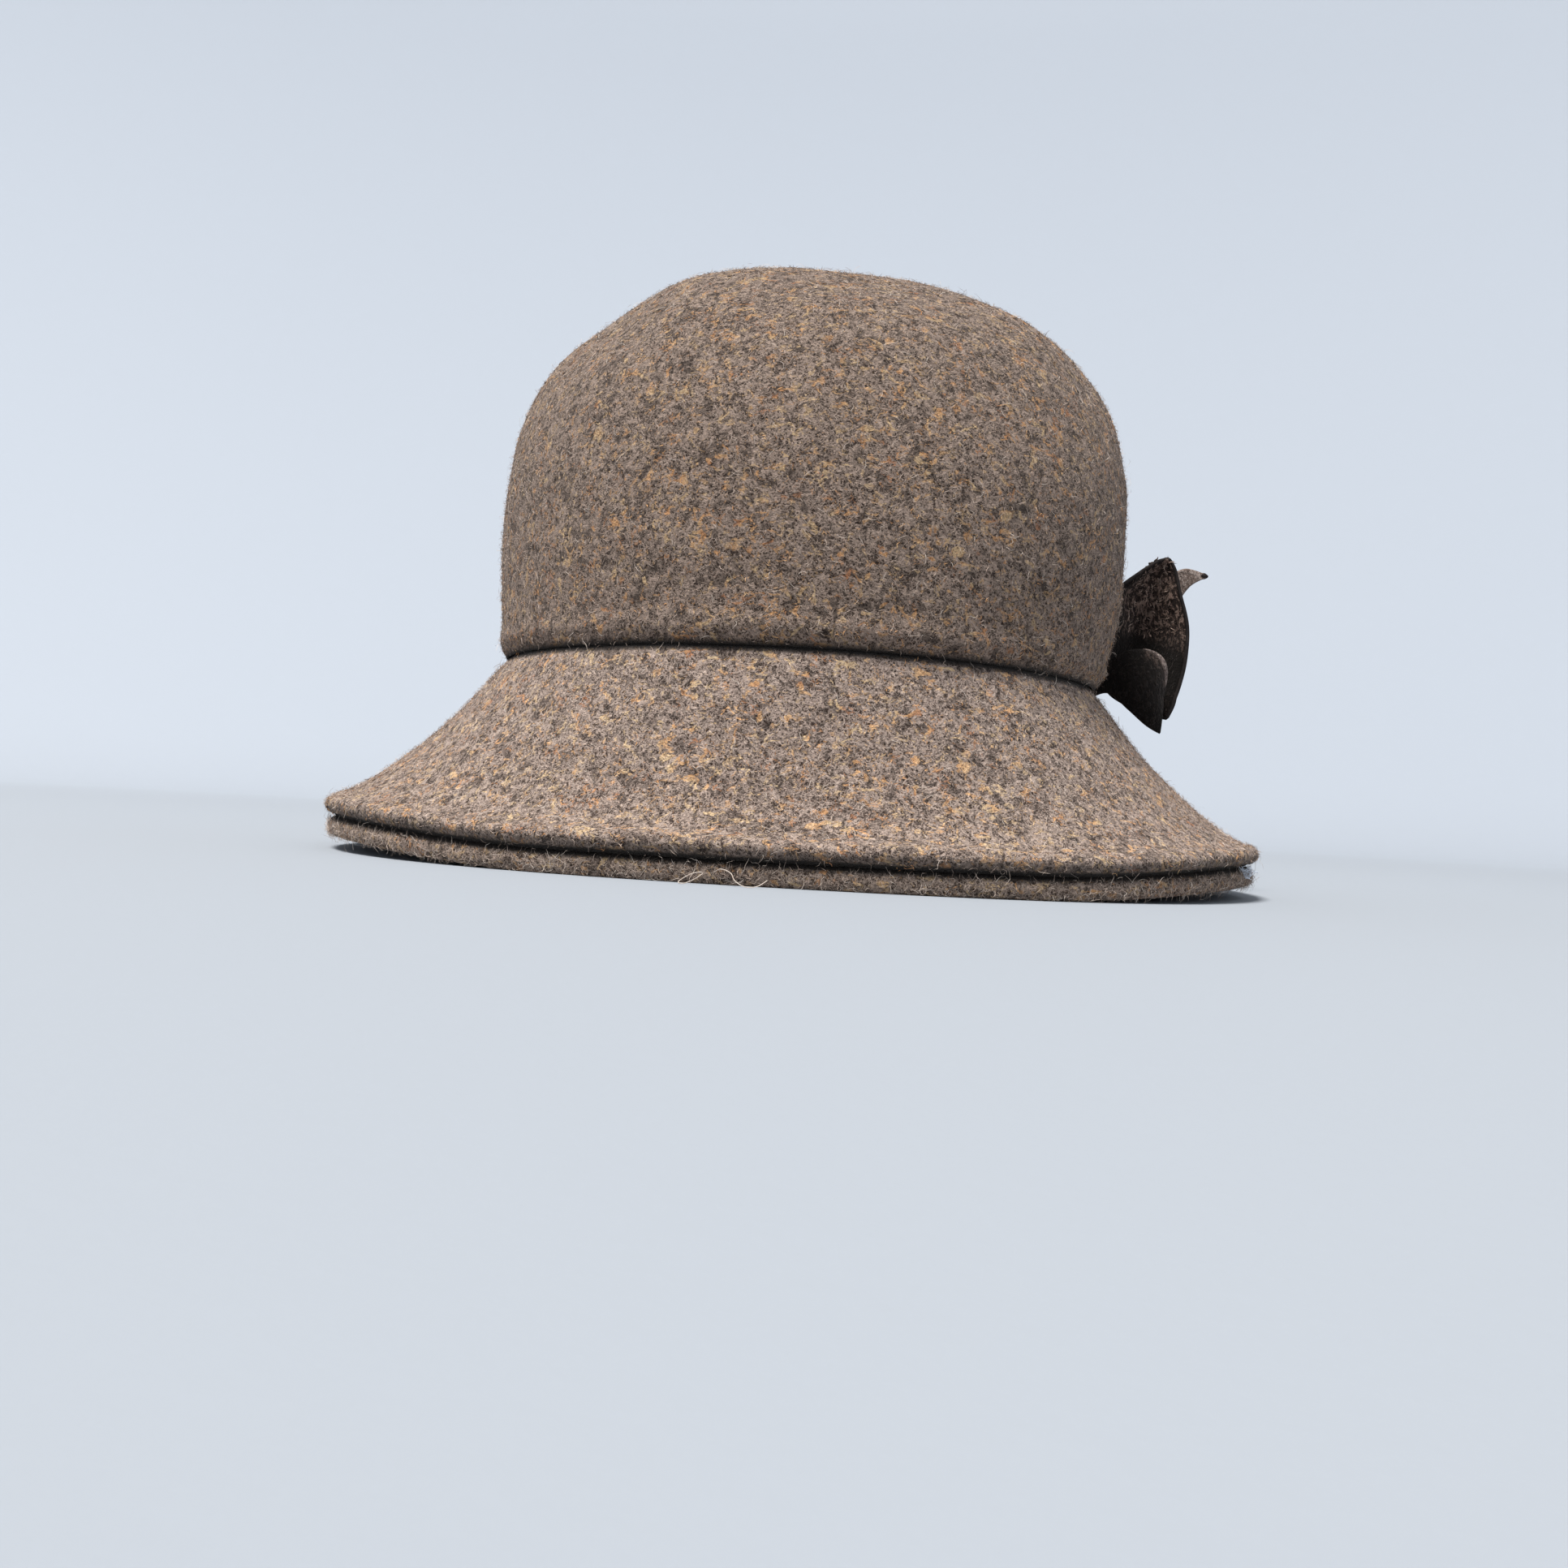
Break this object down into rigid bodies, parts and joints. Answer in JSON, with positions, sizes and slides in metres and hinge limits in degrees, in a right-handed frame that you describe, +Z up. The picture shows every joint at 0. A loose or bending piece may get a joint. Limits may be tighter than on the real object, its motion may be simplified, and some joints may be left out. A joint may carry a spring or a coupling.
{
  "type": "cloche hat",
  "caption": "Cloche hat in thick wool tweed with a rounded crown, a flared brim with a double rolled rim and a dark leaf ornament at one side.",
  "frame": {"origin": "centre of the hat's box on the plane that the rim rests on", "axes": "+Z up to the top of the crown, +X to the side with the ornament, -Y to the front"},
  "size_m": [0.277, 0.25, 0.176],
  "materials": {
    "tweed": "matte",
    "tweed_under": "matte",
    "band_cloth": "satin",
    "leaf_cloth": "matte"
  },
  "bodies": {
    "root": {"crown": "tweed", "brim_top": "tweed", "brim_facing": "tweed_under", "sweatband": "band_cloth", "ornament_knot": "leaf_cloth", "ornament_leaf_front": "leaf_cloth", "ornament_leaf_inner": "leaf_cloth", "ornament_leaf_back": "leaf_cloth", "ornament_leaf_tip": "leaf_cloth"}
  },
  "joints": []
}
